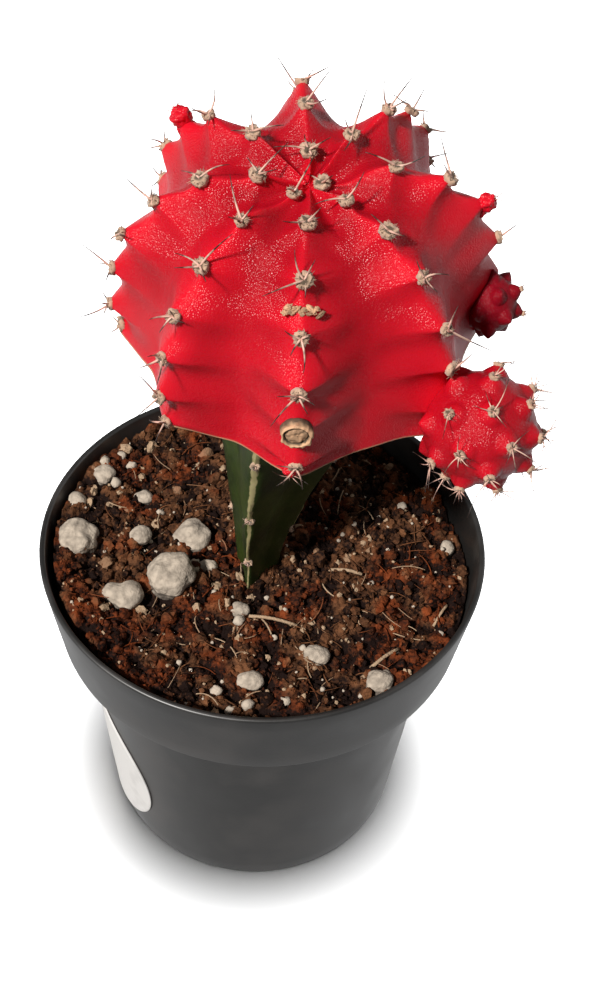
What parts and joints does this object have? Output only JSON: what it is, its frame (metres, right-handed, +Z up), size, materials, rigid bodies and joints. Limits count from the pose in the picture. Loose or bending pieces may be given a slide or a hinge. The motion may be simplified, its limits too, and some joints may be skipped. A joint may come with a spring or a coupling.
{
  "type": "potted moon cactus",
  "caption": "Red grafted moon cactus head with two offsets on a green three-winged rootstock, in a small black plastic nursery pot of soil.",
  "frame": {"origin": "middle of the pot's underside", "axes": "+Z up along the pot's axis, -Y to the front, where the scarred rib and the front wing of the rootstock face"},
  "size_m": [0.0674, 0.065, 0.125],
  "materials": {
    "pot_plastic": "satin",
    "label": "matte",
    "soil": "matte",
    "perlite": "matte",
    "rootstock": "satin",
    "scion": "satin",
    "dark_scion": "satin"
  },
  "bodies": {
    "root": {"pot": "pot_plastic", "sticker": "label", "soil": "soil", "perlite_01": "perlite", "perlite_02": "perlite", "perlite_03": "perlite", "perlite_04": "perlite", "perlite_05": "perlite", "perlite_06": "perlite", "perlite_07": "perlite", "perlite_08": "perlite", "perlite_09": "perlite", "perlite_10": "perlite", "perlite_11": "perlite", "perlite_12": "perlite", "perlite_13": "perlite", "perlite_14": "perlite", "rootstock": "rootstock", "scion": "scion", "offset_large": "scion", "offset_small": "dark_scion"}
  },
  "joints": []
}
